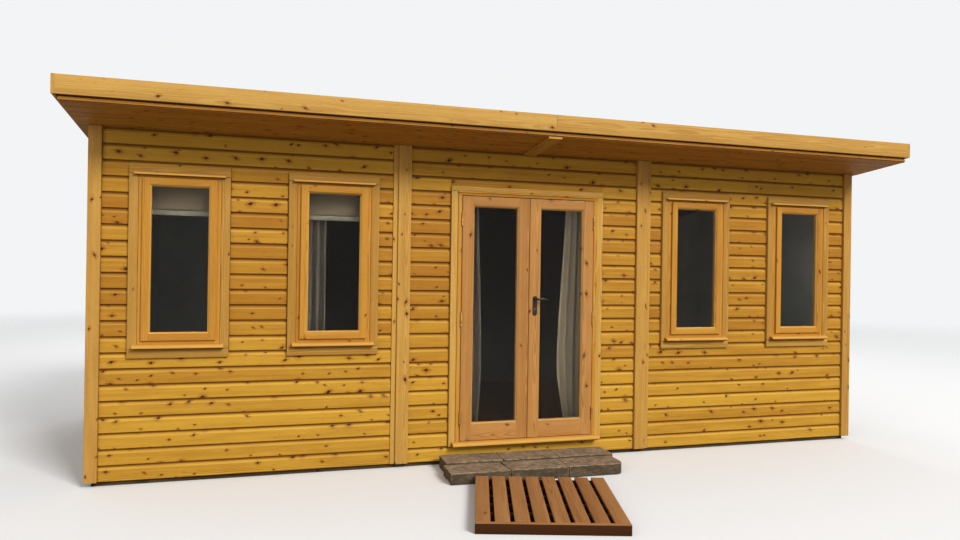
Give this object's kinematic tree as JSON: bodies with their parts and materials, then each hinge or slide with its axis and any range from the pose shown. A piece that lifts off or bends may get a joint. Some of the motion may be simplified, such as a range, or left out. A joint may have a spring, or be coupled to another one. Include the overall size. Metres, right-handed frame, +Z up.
{
  "type": "garden office pod",
  "caption": "Timber garden office pod with a pent roof, shiplap walls, tall side windows, glazed double doors that open outwards, and a block doorstep.",
  "frame": {"origin": "on the ground in the middle of the plan, on the underside of the middle floor bearer", "axes": "+X to the right when the doors are looked at from outside, +Y from the doors to the back wall, +Z up"},
  "size_m": [6.2, 4.7723, 2.5037],
  "materials": {
    "cladding": "satin",
    "trim_boards": "satin",
    "pale_boards": "satin",
    "redwood": "satin",
    "framing": "matte",
    "lining": "matte",
    "panes": "clear",
    "roof_felt": "matte",
    "hinge_metal": "worn",
    "handle_metal": "gloss",
    "blind_cloth": "matte",
    "rail_metal": "satin",
    "curtain_cloth": "matte",
    "concrete": "rough",
    "slats": "matte"
  },
  "bodies": {
    "pod": {"floor_bearers": "framing", "floor": "framing", "front_wall_left": "lining", "front_wall_right": "lining", "door_wall_left": "lining", "door_wall_right": "lining", "door_wall_head": "lining", "left_wall": "lining", "right_wall": "lining", "back_wall": "lining", "front_cladding_left": "cladding", "front_cladding_right": "cladding", "door_cladding": "cladding", "left_cladding": "cladding", "right_cladding": "cladding", "back_cladding": "cladding", "corner_trims": "trim_boards", "cover_strips": "trim_boards", "roof_panels": "framing", "roof_covering": "roof_felt", "soffit": "trim_boards", "soffit_strips": "trim_boards", "front_fascia": "trim_boards", "back_fascia": "trim_boards", "barge_boards": "trim_boards", "window_surrounds": "pale_boards", "outer_left_window": "redwood", "inner_left_window": "redwood", "inner_right_window": "redwood", "outer_right_window": "redwood", "window_sashes": "redwood", "window_glass": "panes", "door_surround": "pale_boards", "door_jambs": "redwood", "door_head": "redwood", "door_sill": "redwood", "frame_hinges": "hinge_metal", "roller_blinds": "blind_cloth", "curtain_rails": "rail_metal", "left_door_curtain": "curtain_cloth", "right_door_curtain": "curtain_cloth", "window_curtain": "curtain_cloth", "doorstep": "concrete", "duckboard": "slats"},
    "left_leaf": {"left_door": "redwood", "left_door_glass": "panes", "left_door_hinges": "hinge_metal"},
    "right_leaf": {"right_door": "redwood", "right_door_glass": "panes", "right_door_hinges": "hinge_metal", "handle_plates": "handle_metal"},
    "lever": {"door_levers": "handle_metal"}
  },
  "joints": [
    {"name": "left_door_hinge", "type": "hinge", "parent": "pod", "child": "left_leaf", "pos_m": [-0.5275, -1.5155, 1], "axis": [0, 0, -1], "range_deg": [0, 110]},
    {"name": "right_door_hinge", "type": "hinge", "parent": "pod", "child": "right_leaf", "pos_m": [0.5275, -1.5155, 1], "axis": [0, 0, 1], "range_deg": [0, 110]},
    {"name": "lever_turn", "type": "hinge", "parent": "right_leaf", "child": "lever", "pos_m": [0.0485, -1.508, 1.212], "axis": [0, 1, 0], "range_deg": [0, 40], "stiffness_Nm_per_rad": 0.4, "springref_deg": -34.38}
  ]
}
